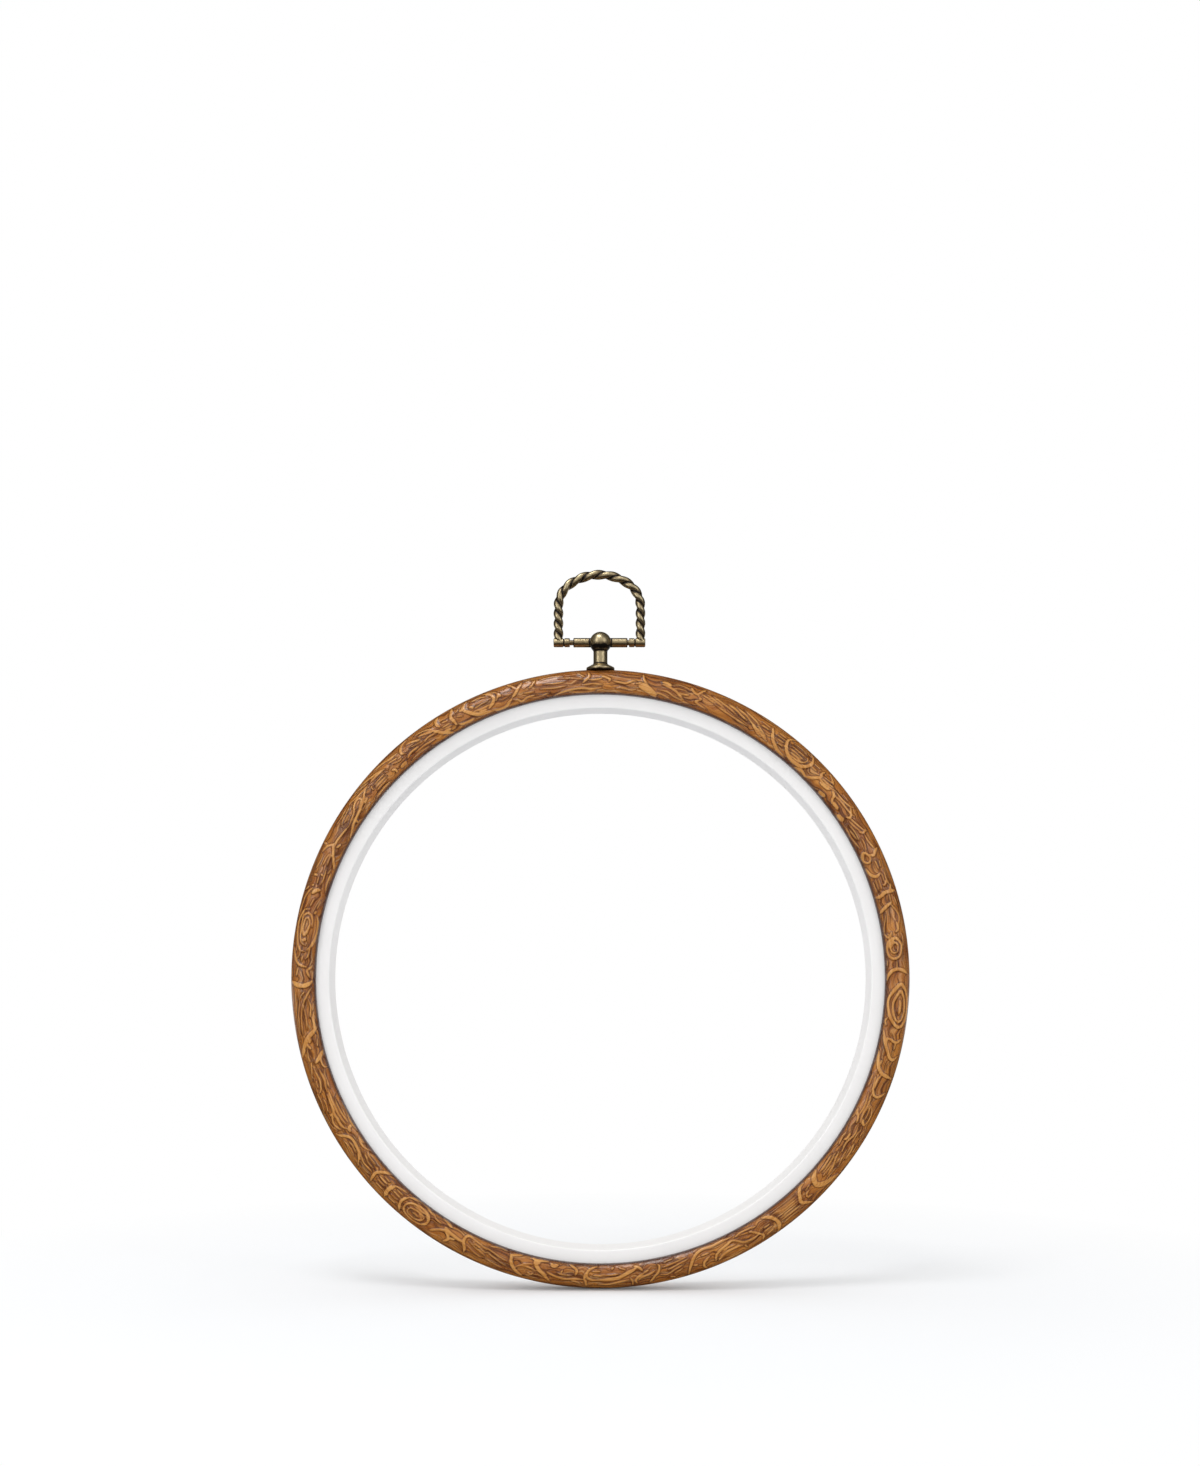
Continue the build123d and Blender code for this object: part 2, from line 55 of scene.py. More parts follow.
# Traced: the raised ribs of the moulded grain. Each line is half the rib's width in mm, then the places it
# runs through: degrees clockwise from the hanger, and share of the band from its inner edge to its outer edge.
# A line that ends with a dot is a closed ring.
ribs_text = """
.45 .2 .75 1 .7 1.8 .62 1.6 .53
.35 2.3 .57 3.6 .52 5 .5 6.2 .62 7 .6
.9 7.6 .45 8.8 .38 10 .27 11 .13
.3 6.8 .5 7.8 .58 9 .52 10.2 .37 11.3 .2
.4 8 .92 8.3 .75 8.7 .62 9.2 .58
.3 3 .26 4.4 .3 5.8 .24 7 .28
.55 11.8 .76 13 .74 13.6 .68
.4 11.9 .66 13.5 .6 15 .48 15.9 .35 16.8 .22
.3 11.2 .42 13 .42 14.5 .3 16.5 .2 18.5 .14
.3 10.9 .3 12.5 .25 14 .15
.3 13.8 .72 15 .79 16.6 .77 17.6 .67
.28 14.2 .6 15.5 .65 17 .63
.3 15.3 .5 16.2 .48 17.4 .52
.45 17.4 .84 17.9 .72 18.6 .66 19.2 .64
.4 20.2 .92 19.5 .8 19 .66
.35 19 .6 19.8 .5 18.9 .36 19.6 .28 21.5 .18
.3 19.6 .72 21 .64 22.6 .56
.3 20.2 .8 21.6 .72 23.2 .62 25 .5
.3 21.5 .82 23.4 .72 25.4 .62 27.5 .5
.3 22.5 .52 25 .42 28 .33 30.2 .3
.4 25 .75 26.4 .7 28.2 .58 29.6 .5
.35 26.6 .8 28.8 .68 30.6 .52 32.2 .32 33.4 .22
.32 28.2 .84 30.4 .72 32 .62
.35 29.4 .62 31.2 .48 33 .35 35 .22
.3 31.6 .6 33.2 .44 34.6 .3
.28 32.2 .79 34.2 .77
.28 32.4 .67 34.3 .65
.55 34.5 .82 35 .66 35.5 .48 36.6 .3 38 .16 39.8 .12
.28 36 .8 37.8 .8
.28 36 .68 38 .7
.28 36.4 .56 38 .58
.28 36.8 .42 38.2 .44
.58 39.4 .95 38.4 .84 38.3 .68 38.9 .46 40 .3 41.4 .22 43 .28 44.1 .46 44.5 .68 44.1 .86 43.2 .95
.3 39.6 .82 41.4 .85 43.1 .82
.28 39.3 .7 43 .7
.28 39.4 .58 43 .57
.28 39.8 .47 42.8 .46
.3 43.1 .78 43.5 .62 43 .46 41.8 .36 40.5 .38
.5 42.5 .1 44 .18 45.4 .12
.28 44.8 .76 46.4 .79
.28 44.9 .6 46.2 .62
.5 47.4 .84 47.2 .7 47.5 .56 47 .44 46.3 .26 45.2 .14
.4 48.2 .94 49.5 .84 50.3 .76
.3 47.8 .68 49.2 .73 50.2 .8
.35 47.6 .55 49.4 .62 50.8 .7
.4 48.2 .4 49.8 .45 50.5 .52
.32 47.2 .48 48.8 .5 50.6 .6 51.6 .7
.45 50.8 .62 51.8 .5 52.2 .36 52.8 .22
.38 51.6 .66 53.4 .67 55.2 .75 56 .86
.32 51.8 .52 54 .58 56.4 .61 57.4 .7
.28 52.6 .82 54.4 .82
.4 55.4 .76 56.6 .64 57.1 .5 56.5 .36
.32 57 .48 58.6 .58 60.2 .7 61 .83
.28 57.6 .4 59.2 .48 60.6 .6
.4 60.6 .8 60.9 .66 60.4 .52
.35 61.4 .66 63 .68 64.6 .77
.28 58 .3 60 .37 61.8 .36
.28 59 .22 60.6 .26 61.6 .3
.3 57.6 .18 59.8 .12 61.8 .16 63.4 .24
.28 61.6 .5 63.2 .48 64.4 .4
.5 64.6 .88 65 .74 65.6 .62 65.2 .46
.35 64.4 .28 65.2 .43 66.2 .43 66.6 .28 65.9 .13 65 .12 .
.7 49.4 .12 50.8 .18
.8 55.4 .14 56.8 .2
.6 52.8 .3 54.4 .3
.3 66.8 .74 68.2 .7
.28 66.6 .58 68.6 .6
.28 68.9 .76 70.8 .74 72 .78
.28 69.4 .64 71 .62
.4 70.9 .7 71.5 .64 71.7 .54
.5 69.2 .6 69.6 .42 69.3 .26 68.4 .14 67.4 .1
.62 73.2 .92 73.1 .7 73.1 .5 73.6 .28 73.6 .08
.4 71.8 .84 72.5 .78 73 .68
.28 73.6 .66 75 .64
.28 74.2 .82 76 .86
.26 70 .44 72.4 .43
.26 69.9 .3 72.6 .3
.26 70.4 .18 72.8 .18
.55 75.2 .66 75.6 .48 76.1 .3 76.8 .1
.35 75.5 .62 76.8 .75 78.2 .83 79.4 .76 80.6 .72
.4 79 .67 80.4 .69 81 .58
.3 76.9 .32 78.4 .24 79.8 .14 81.2 .1
.35 80.8 .42 81.5 .34 81.8 .22 81 .1
.28 81 .24 82 .38
.42 82.1 .5 82.6 .66 83.6 .73 85 .69 85.9 .54 86 .34 85.3 .18 83.9 .13 82.6 .24 .
.28 82.9 .46 83.5 .6 84.7 .55 84.9 .38 84 .28 83.2 .32 .
.3 81.6 .85 83.2 .81 84.2 .76
.26 86.6 .5 87.9 .5
.3 86.2 .12 87.4 .1
.58 89 .9 88.3 .72 88.1 .5 88.4 .3 89.2 .14 90.2 .08
.52 91 .64 91.8 .8 93.2 .9 95.4 .93 97.6 .91 98.8 .82 99.2 .68 98.7 .5 97.4 .3 95.8 .18 94.2 .15 92.8 .28 91.7 .46 .
.4 92.3 .64 93.4 .77 95.4 .83 97.4 .79 98.2 .66 97.6 .5 96 .38 94.4 .38 93.2 .5 .
.5 94 .63 95.2 .66 96.8 .63
.35 97.6 .2 98.4 .12 99.2 .2
.45 101.3 .9 101.9 .8 102.2 .68 101.8 .5 101.6 .34
.28 102.3 .72 103.6 .69
.52 104.6 .9 105.5 .76 105.2 .6 104 .44 102.4 .26 100.2 .12
.4 101.6 .34 102.6 .32 103.4 .38
.58 109 .92 108.8 .7 108.6 .5 107.8 .32 106.6 .2 105.6 .14 104.4 .12
.3 106 .34 107.2 .3
.32 108.9 .52 110 .42 112 .42
.3 109.4 .3 111.4 .34
.32 109 .16 111.8 .14
.45 111.8 .9 112.8 .76 113.2 .62 112.8 .46 111.4 .34
.3 115.2 .62 116.4 .73 118 .75 119.2 .69
.28 115 .55 116.8 .6 118.4 .6
.5 119.1 .7 118.8 .6 118.2 .53
.32 113 .4 115.2 .46 117.6 .44 119 .5
.28 112.8 .26 115.4 .34 118 .3
.35 117.4 .22 118.4 .33 119.4 .36
.4 116.6 .14 118 .18
.28 119.6 .68 121.8 .62 123.4 .64
.28 119.8 .8 121.4 .76
.35 123 .72 124.6 .78 126.4 .8
.28 122.6 .84 124.8 .87
.3 119.6 .5 121.6 .54 123.8 .42 125.6 .5
.4 121.6 .36 122.8 .37 123.4 .28
.32 121.8 .2 123.2 .16 124.8 .22
.3 125.6 .38 127.4 .46 129 .57 130.8 .62
.28 124.4 .6 126.4 .65 128.4 .74
.28 126.4 .3 128.6 .37 131.2 .42
.28 127 .2 129.4 .27 131.6 .3
.26 128.8 .48 131.6 .52
.26 128.6 .68 131.4 .7
.85 129.4 .92 131.4 .82 132.7 .72 133.5 .56 133.4 .4 132.7 .24 131.6 .12
.3 135.4 .7 136.4 .66 136.2 .54 135.3 .5
.26 134.6 .36 136 .4
.58 136.3 .93 137.2 .8 138 .64 137.6 .46 137 .28 136.2 .14 135.2 .12
.26 138.6 .82 141 .8 143.2 .82
.26 138.6 .7 141 .69 143.2 .7
.26 138.6 .6 141 .58 143.3 .6
.3 138.4 .49 141 .48 143.4 .49
.26 138.2 .39 141 .4 143.6 .38
.26 138 .3 141 .3 143.9 .28
.26 137.8 .2 141 .2 144 .18
.62 144.9 .97 144 .82 143.8 .62 144.2 .42 145 .24 146 .14
.28 145 .64 147.2 .68
.28 145.3 .53 146.8 .55
.28 145.2 .78 147 .82
.4 148.1 .92 147.5 .78 147.9 .66 148.6 .5 149.6 .34
.38 148.3 .66 150 .66 151.4 .6 152.4 .44 153.2 .34 154.2 .32
.38 147.9 .3 149.4 .22 151.4 .2 152.4 .26
.42 151.8 .7 153 .65 154.6 .66 156.2 .72 157.3 .86
.42 153.4 .34 155 .42 156.6 .52 157.4 .66 157.7 .82
.32 151.2 .86 151.5 .72
.3 152.2 .88 154 .92 156.4 .88
.28 153 .54 154.6 .52 156 .6
.42 159.7 .95 160.1 .82 159.7 .67 158.5 .55
.5 163.4 .96 163 .82 162.4 .62 161.6 .4 160.6 .24 159.2 .16 157.4 .19 155 .16 153 .18
.4 161.2 .7 161.9 .68
.28 158.4 .4 160 .4
.28 162.4 .34 165 .46 167 .56
.28 162.6 .24 165.4 .34 168.2 .44
.3 163.6 .5 165.6 .62 167.4 .74 168.7 .67
.28 164 .64 166 .78
.28 165.4 .16 167.6 .24
.35 165.8 .92 166.8 .84
.38 170.8 .92 169.8 .74 168.8 .56 168.4 .34 168.9 .2
.34 169.4 .48 170.6 .6 172.2 .68 172.8 .78
.3 170.6 .42 171.6 .5
.4 173 .9 173.3 .76 172.6 .62 171.6 .52
.34 174 .94 173.9 .78 174.3 .63
.45 171.8 .42 172.3 .27 173.4 .17
.58 172.6 .2 173.6 .34 174.6 .42 175.8 .54 177 .62 178.8 .66 180.4 .66
.38 174.6 .7 176.2 .76 178.4 .84 180.4 .84
.3 175 .3 176.4 .18
.35 177.4 .16 177.8 .24
.28 176.4 .44 178.6 .48 180 .44
.45 180.4 .67 181.6 .66 182.4 .6 182.7 .46 182.4 .3 181.6 .18 180.6 .12
.28 179.6 .5 181.4 .48
.28 180 .32 181.6 .32
.42 182.6 .94 182.8 .76 183.1 .6 183 .42
.42 183.2 .67 184.8 .66 186.8 .7 188.6 .66 190 .56 190.6 .48
.32 183.6 .86 184.6 .78 185.6 .76
.45 184.9 .52 184.6 .34 185.2 .2 186.3 .08
.28 185.4 .52 187.2 .55 188.4 .5
.3 187.7 .5 187.4 .36
.62 188.4 .18 189.3 .24 189.8 .16
.62 189.6 .88 190.8 .67 191.8 .53 192.6 .36 192.9 .2 191.8 .12 190.4 .1
.5 192 .26 193 .14 193.7 .08
.56 194.8 .9 196.2 .78 197.1 .62 197.6 .44 197.8 .28 198.1 .16
.5 197.9 .2 196.9 .15 195.7 .08
.32 192.4 .58 194.4 .49 195.8 .53 196.4 .62
.28 193.2 .34 194.4 .38 195.6 .46
.3 192.8 .68 193.4 .76 194.2 .68
.28 191.6 .87 193.2 .85 194.4 .82
.28 197.6 .74 199.4 .65 201.4 .52 202.8 .42
.28 198 .52 200 .45 202 .33 203.4 .28
.28 198.4 .84 200.6 .78 202.6 .7
.34 198.6 .13 200.4 .09 202.4 .17
.28 202.6 .62 204.4 .5 206.6 .36
.28 202.6 .5 204.6 .38 206.2 .26
.28 203 .76 205.2 .64 206.8 .52
.28 202.8 .36 204.8 .24 206.4 .16
.5 206.6 .86 206.8 .68 207.4 .52 207.6 .3 207 .14 205.8 .18
.5 207.6 .5 209.4 .46 211 .4 212 .3
.5 211 .86 210.4 .68 211 .52 212 .36
.4 209.2 .58 210.4 .62
.4 211.4 .42 213 .56 214.4 .8
.5 210.8 .2 211.8 .12 213.4 .04
.28 212.6 .3 214.2 .26 215.6 .1
.48 221 .9 221.6 .74 221.9 .56 221.7 .38 221.2 .24
.5 215.4 .2 216.8 .08 218.4 .05 220 .11 221.2 .22
.36 215.4 .56 216 .76 217.4 .85 219.2 .85 220.4 .76 220.8 .56 220.2 .36 218.6 .24 216.8 .24 215.6 .38 .
.28 216.6 .64 217.6 .75 219.3 .75 219.9 .62 219.5 .5 217.8 .44 216.5 .5 .
.26 216.4 .35 219.4 .35
.26 217.2 .6 219 .6
.28 222.4 .78 224.2 .8
.28 222.4 .63 224.4 .64
.28 222.4 .48 224.4 .47
.28 222.3 .33 224 .32
.7 224.9 .86 225.2 .62 225.1 .44 224.7 .32
.35 222 .15 223.6 .19 225 .28
.28 226 .74 228 .75
.28 226.1 .6 228.2 .6
.28 226.1 .46 228.2 .46
.28 226 .32 227.6 .3
.52 228.7 .88 229.1 .66 229.2 .48 228.8 .34 228.2 .22 227.4 .1 226.4 .02
.28 229.9 .74 232 .76
.3 229.8 .59 232.2 .6 234 .48 235 .38
.28 230 .44 232 .44 233.8 .3
.28 230.2 .28 232.4 .28 233.6 .16
.5 232.4 .86 233.4 .66 234.4 .51 236 .43 237.4 .45 238.4 .6 239 .78 239.8 .9
.28 234.6 .62 236 .57 237.4 .6
.28 234.2 .76 236 .7 237.8 .76
.32 233 .08 234.4 .2 235.8 .23 237.2 .1
.3 235.2 .12 236.6 .12
.5 238.6 .35 239.4 .3 239.6 .16
.45 239.4 .4 240.4 .52 242 .54 243.2 .57 244.6 .51 247 .48
.38 239.8 .62 241.2 .76 242.4 .72 243.2 .6
.28 240 .76 241.4 .88 243.4 .88
.4 243.2 .74 243.2 .58
.28 243.8 .76 245.4 .68 246.6 .7
.28 244 .88 246 .82 248 .85
.32 240.2 .34 242.4 .4 245 .4 248 .38
.28 240.4 .22 243 .28 246 .26
.36 238 .08 240.4 .12 242.4 .07 245 .1
.34 247.6 .8 248.5 .64 250.2 .56 252.4 .62
.26 248.8 .73 250.4 .71
.3 250.4 .85 252.2 .75 253.6 .67 254.2 .56
.3 254 .72 255.4 .71 256.8 .66
.34 247.6 .45 250 .38 252.2 .43
.28 248 .28 250.6 .28 252.2 .2
.6 253.5 .48 254.4 .3 255.2 .14 255.6 .05
.35 252.3 .06 252.4 .2 253.2 .26 254.3 .22 254.9 .1
.72 255.2 .94 256.9 .79 258.3 .61 259.1 .43 259.7 .27 260.4 .13
.4 256.4 .53 257.2 .63 258 .68
.35 257.6 .56 258.2 .42
.5 259.8 .24 261.4 .21 263.4 .17
.28 256.6 .24 258.2 .18
.28 258.6 .86 260.8 .82 263.2 .78 265.8 .68
.28 259.4 .72 262 .69 264.4 .61 266.2 .5
.28 260.2 .52 262.4 .5 265 .54
.32 264.8 .58 266.2 .45 267.4 .3 268.4 .16
.28 262.4 .35 264.2 .26 266 .32
.3 263.6 .2 265.4 .13
.28 266 .7 267 .58 267.6 .45
.72 269.6 .95 268.9 .76 268.7 .5 269 .3 269.6 .14
.36 270.6 .79 272.2 .73
.4 270.2 .24 271.6 .35 272.2 .22 272.8 .14
.45 276 .93 274 .85 272.9 .72 272.5 .54 272.3 .36
.3 273.7 .8 274.8 .69 276 .7
.34 273.8 .46 274.6 .35 276.2 .3 277.4 .24
.28 273.4 .62 274.6 .56
.45 275.3 .52 275.6 .7 276.8 .82 278.6 .88 280.6 .9 282.2 .85 283.3 .75 283.5 .58
.48 275.6 .44 276.4 .28 277.6 .16 279.4 .1 281.2 .12 282.4 .22
.38 276.5 .48 276.8 .65 278 .74 280 .76 281.9 .76 282.7 .62 282.4 .46 281.4 .36 280.2 .33
.3 278.4 .6 279.4 .68 281.4 .67 281.8 .54 280.6 .45 279.2 .49 .
.5 277.4 .64 277.7 .52
.4 282.8 .36 283.3 .3
.4 281.6 .95 283.6 .92 285.6 .88 287 .79 287.6 .66
.62 286.6 .66 287.3 .54 287.6 .38
.35 288 .76 288.3 .68
.38 286.9 .95 287.7 .85
.4 290.1 .82 290.2 .68
.34 287.4 .15 289.4 .2 291.4 .17
.34 290.6 .58 290.4 .45
.28 288.4 .44 290 .4 292 .44
.26 291 .3 292.2 .25
.26 288.6 .58 290 .6
.28 284 .6 285.8 .5
.28 283.8 .3 285.6 .22
.28 292.2 .62 293.8 .6 295 .54
.28 292.4 .46 294 .48 295.2 .46
.28 291.2 .84 293 .78 294.4 .8
.42 294.6 .86 295.8 .79 296.4 .67 296.9 .58
.45 296.9 .6 295.8 .49 294.6 .37 293.4 .24 292.4 .14
.36 296.2 .5 297.6 .52 299.4 .46 301.2 .4
.34 296.4 .4 297.4 .3
.36 296.4 .95 296.2 .82
.48 299.4 .1 301 .2 302.4 .29 304 .34 305.8 .42 307.4 .54 308.4 .66 309.4 .73
.36 301 .38 302.8 .45 304.2 .53 304.9 .65 305.9 .72 306.8 .68 306.9 .58 306 .51 305.2 .52
.28 300.4 .6 301.4 .72 303 .75 304.6 .8
.26 301.2 .62 303.2 .64
.28 300 .85 302 .83 304 .88
.38 304.6 .87 306.4 .8 308.6 .75 309.8 .73
.32 306.8 .94 308.6 .87 310.2 .79
.46 308.8 .93 310.6 .87 312.6 .77 314.2 .66
.38 310.4 .74 312.4 .72 314 .68
.4 303 .3 302.9 .16
.3 310 .62 309.8 .44
.34 309 .14 311 .16 313.4 .15
.26 310.4 .52 313.6 .55
.26 310.4 .42 313.6 .42
.26 310.2 .3 313.2 .31
.36 306.6 .38 308 .44
.28 305.8 .22 307.4 .2
.42 312.4 .94 314.6 .88 316 .82 318 .78
.3 315.4 .72 317.4 .64
.28 315.8 .6 317.2 .5 318.2 .5
.4 315 .42 315.6 .34 315.5 .2
.62 316.8 .24 318.2 .26
.46 321 .93 319.6 .89 318.8 .77 318.6 .64 319.2 .54
.42 320.2 .79 321.2 .77 322.2 .67 323.2 .6
.4 318.8 .34 320.2 .43 322 .42
.35 322.4 .88 324.4 .81 325.6 .71 326.4 .56
.42 323 .76 324.6 .67 325.9 .58
.28 320.4 .62 322 .54 323.6 .5
.28 323.4 .4 324.4 .5 326 .46
.28 320.6 .3 323 .32 325.4 .26
.28 319.2 .18 321.6 .2 324 .16
.52 325.6 .66 326.6 .47 327.4 .31 328.4 .18 329.3 .08
.34 327.6 .31 329.2 .28
.55 328.1 .94 327.4 .85 327.2 .71 327.5 .58
.28 328.2 .67 329.4 .63
.26 327.8 .5 329.6 .5
.26 328 .4 329.8 .38
.56 331.2 .96 330.7 .82 330.2 .67 330.4 .48 330.5 .3
.46 330.9 .29 331.8 .2 333.2 .17 334.2 .2
.26 331.2 .6 332.4 .5
.26 331.4 .74 332.2 .84
.6 334.2 .93 333.3 .83 333 .7 333.6 .54 334.4 .38 335.4 .25 337 .2 338.2 .16
.45 332.2 .74 333 .7
.56 337.4 .94 338.6 .85 339.2 .68 338.8 .5 337.7 .33
.34 334.6 .84 336.4 .87 338 .8
.45 334.2 .7 334.9 .62
.28 335 .56 336.6 .6 338 .62
.28 334.8 .46 336.4 .42 338 .46
.26 335.6 .34 337.2 .33
.3 338.4 .95 339.8 .83 340 .66 339.4 .48
.45 340.3 .76 340.5 .62
.46 342.3 .96 343.2 .84 343.7 .7
.5 345.2 .89 344.2 .72 343.4 .54 342.6 .42
.5 342.4 .36 341.6 .24 340.8 .14 339.4 .13 338.2 .2
.36 342.6 .3 343.6 .26 344.2 .15 345.4 .24 347 .27
.26 341.2 .6 342.6 .56
.4 347.6 .86 347 .71 346.2 .6
.3 345.4 .95 346.8 .86
.28 346 .18 348 .17 350 .26
.28 345 .44 347 .42
.4 350.6 .08 352 .17 354 .24 356.4 .28 358.4 .23 360.2 .26
.34 353.8 .15 356.6 .1 359 .13
.28 352 .76 354 .73 356 .66 357.2 .58
.28 348.4 .82 351 .87 353 .84
.28 349 .64 351.2 .58 353.4 .6
.28 348.2 .46 351 .4 353.4 .43
.45 357.7 .9 357.9 .76 357.4 .63 356.6 .5
.34 355.6 .9 357 .72
.34 357.6 .6 359.4 .62 .6 .68
.28 356.4 .4 358.4 .44 360.4 .4
"""


def colour(hex_code):
    """An sRGB hex colour as the linear red, green, blue and alpha that the shaders take."""
    parts = [int(hex_code[i:i + 2], 16) / 255 for i in (1, 3, 5)]
    return tuple(c / 12.92 if c <= 0.04045 else ((c + 0.055) / 1.055) ** 2.4 for c in parts) + (1.0,)


def node(tree, kind, inputs=None, take=0, **settings):
    """Add a node, set or link its inputs, and give the output to take, or all of them where that is None."""
    # A shader node's kind comes without the words that all of them begin with
    added = tree.nodes.new(kind if "Node" in kind else "ShaderNode" + kind)
    for name, value in settings.items():
        setattr(added, name, value)
    for socket, value in (inputs or {}).items():
        if isinstance(value, bpy.types.NodeSocket):
            tree.links.new(value, added.inputs[socket])
        else:
            added.inputs[socket].default_value = value
    return added.outputs if take is None or len(added.outputs) == 0 else added.outputs[take]


def new_object(name, data):
    added = bpy.data.objects.new(name, data)
    bpy.context.collection.objects.link(added)
    return added


def new_material(name):
    finish = bpy.data.materials.new(name)
    finish.use_nodes = True
    finish.node_tree.nodes.clear()
    return finish, finish.node_tree


def rounded(corners, steps=8):
    """A section's outline through its corners, each given as (across, along, radius of its rounding)."""
    outline = []
    for i, (x, y, radius) in enumerate(corners):
        corner = np.array((x, y))
        before, after = np.array(corners[i - 1][:2]), np.array(corners[(i + 1) % len(corners)][:2])
        to_before = (before - corner) / np.linalg.norm(before - corner)
        to_after = (after - corner) / np.linalg.norm(after - corner)
        if not radius:
            outline.append(corner)
            continue
        half_angle = math.acos(np.clip(to_before @ to_after, -1, 1)) / 2
        middle = to_before + to_after
        centre = corner + middle / np.linalg.norm(middle) * radius / math.sin(half_angle)
        start = corner + to_before * radius / math.tan(half_angle) - centre
        end = corner + to_after * radius / math.tan(half_angle) - centre
        sweep = math.pi - 2 * half_angle
        for step in range(steps + 1):
            t = step / steps
            outline.append(centre + (math.sin((1 - t) * sweep) * start + math.sin(t * sweep) * end) / math.sin(sweep))
    return np.array(outline)


def arc(centre, radius, start, end, steps):
    """Points of (radius, along) on an arc, its angles in degrees from the radius' direction."""
    turns = np.radians(np.linspace(start, end, steps))
    return [(centre[0] + radius * math.cos(a), centre[1] + radius * math.sin(a)) for a in turns]


def mesh_piece(name, points, faces, sharp_degrees=35):
    """A piece from points in millimetres, smooth except where its faces meet at more than the given angle."""
    mesh = bpy.data.meshes.new(name)
    mesh.from_pydata((np.asarray(points) * mm).tolist(), [], faces)
    shape = bmesh.new()
    shape.from_mesh(mesh)
    bmesh.ops.remove_doubles(shape, verts=shape.verts, dist=1e-7)
    bmesh.ops.recalc_face_normals(shape, faces=shape.faces)
    shape.to_mesh(mesh)
    shape.free()
    mesh.shade_smooth()
    mesh.set_sharp_from_angle(angle=math.radians(sharp_degrees))
    return new_object(name, mesh)


def ring_faces(rows, columns, closed):
    """Quads over a grid of rows round a ring, and from the last row back to the first where the section closes."""
    quads = []
    for row in range(rows if closed else rows - 1):
        nxt = (row + 1) % rows
        for column in range(columns):
            right = (column + 1) % columns
            quads.append((row * columns + column, row * columns + right, nxt * columns + right, nxt * columns + column))
    return quads


def closer(outline, spacing=0.15):
    """The outline with points added along its straight runs, so that the patina has places to be kept at."""
    outline = np.array(outline)
    added = []
    for start, end in zip(outline, outline[1:]):
        steps = max(1, round(np.linalg.norm(end - start) / spacing)) if start[0] > 0 and end[0] > 0 else 1
        added += [start + (end - start) * step / steps for step in range(steps)]
    return added + [outline[-1]]


def turned(name, outline, place, segments=96, closed=False):
    """Turn an outline of (radius, along) round an axis. `place` makes a point from radius, along and angle."""
    angles = np.arange(segments) * 2 * math.pi / segments
    points = [place(radius, along, angle) for radius, along in outline for angle in angles]
    return mesh_piece(name, points, ring_faces(len(outline), segments, closed))


def round_hoop(radius, along, angle):
    return (radius * math.sin(angle), along, hoop_centre + radius * math.cos(angle))


def round_post(radius, along, angle):
    return (radius * math.cos(angle), radius * math.sin(angle), along)


def round_pivot(radius, along, angle):
    return (along, radius * math.cos(angle), pivot_height + radius * math.sin(angle))


def cut(piece, tool):
    """Take the tool's shape out of the piece, and drop the tool."""
    boolean = piece.modifiers.new("cut", "BOOLEAN")
    boolean.operation = "DIFFERENCE"
    boolean.solver = "EXACT"
    boolean.object = tool
    mesh = bpy.data.meshes.new_from_object(piece.evaluated_get(bpy.context.evaluated_depsgraph_get()))
    piece.modifiers.clear()
    piece.data = mesh
    bpy.data.objects.remove(tool)


def keep_attribute(piece, name, values):
    layer = piece.data.attributes.get(name) or piece.data.attributes.new(name, "FLOAT", "POINT")
    layer.data.foreach_set("value", np.asarray(values, dtype=np.float32))


def finish_piece(piece, finish, body, slot_name, *nodes):
    piece.data.materials.clear()
    piece.data.materials.append(finish)
    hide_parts(*nodes)
    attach(piece, body)


# Outer ring: its section, walked from the lip's inner corner round the front, the outside and the back to the seat
rib_depth, rib_slope, slope_inside_share = 0.17, 0.22, 0.6
plain_at_lip, plain_at_seat, lip_fade, seat_fade = 0.7, 1.0, 1.2, 1.0
columns, front_rows, outside_rows, seat_rows = 1700, 41, 14, 4
section_middle = (86.5, 0)
section = rounded([
    (lip_radius, lip_back, 0), (lip_radius, -half_depth, lip_edge_radius), (hoop_radius, -half_depth, shoulder_radius),
    (hoop_radius, half_depth, shoulder_radius), (seat_radius, half_depth, back_edge_radius), (seat_radius, lip_back, 0),
], steps=40)
walk = np.concatenate(([0], np.cumsum(np.linalg.norm(np.diff(np.vstack((section, section[:1])), axis=0), axis=1))))
loop = np.vstack((section, section[:1]))
limb = walk[np.argmax(section[:, 0] > hoop_radius - 1e-6)]
half_round_middle = limb + (half_depth - shoulder_radius)
seat_start = walk[-1] - (seat_radius - lip_radius) - (half_depth - back_edge_radius - lip_back)
seat_end = walk[-1] - (seat_radius - lip_radius)
row_walks = np.concatenate((
    np.linspace(0, half_round_middle, front_rows)[:-1],
    np.linspace(half_round_middle, seat_start, outside_rows)[:-1], np.linspace(seat_start, seat_end, seat_rows),
))


def at_walk(distance):
    return np.stack([np.interp(distance, walk, loop[:, i]) for i in (0, 1)], axis=-1)


# The traced shares are of the band as it is seen from the front, so they're turned into distances round the section
camera_distance = 520.0
seen_inner, seen_outer = 82.83, 90.07
front_steps = 400
front_walks = np.linspace(lip_edge_radius / 4, limb, front_steps)
front_places = at_walk(front_walks)
front_shares = (front_places[:, 0] * camera_distance / (camera_distance + front_places[:, 1]) - seen_inner)
front_shares = np.maximum.accumulate(front_shares / (seen_outer - seen_inner))


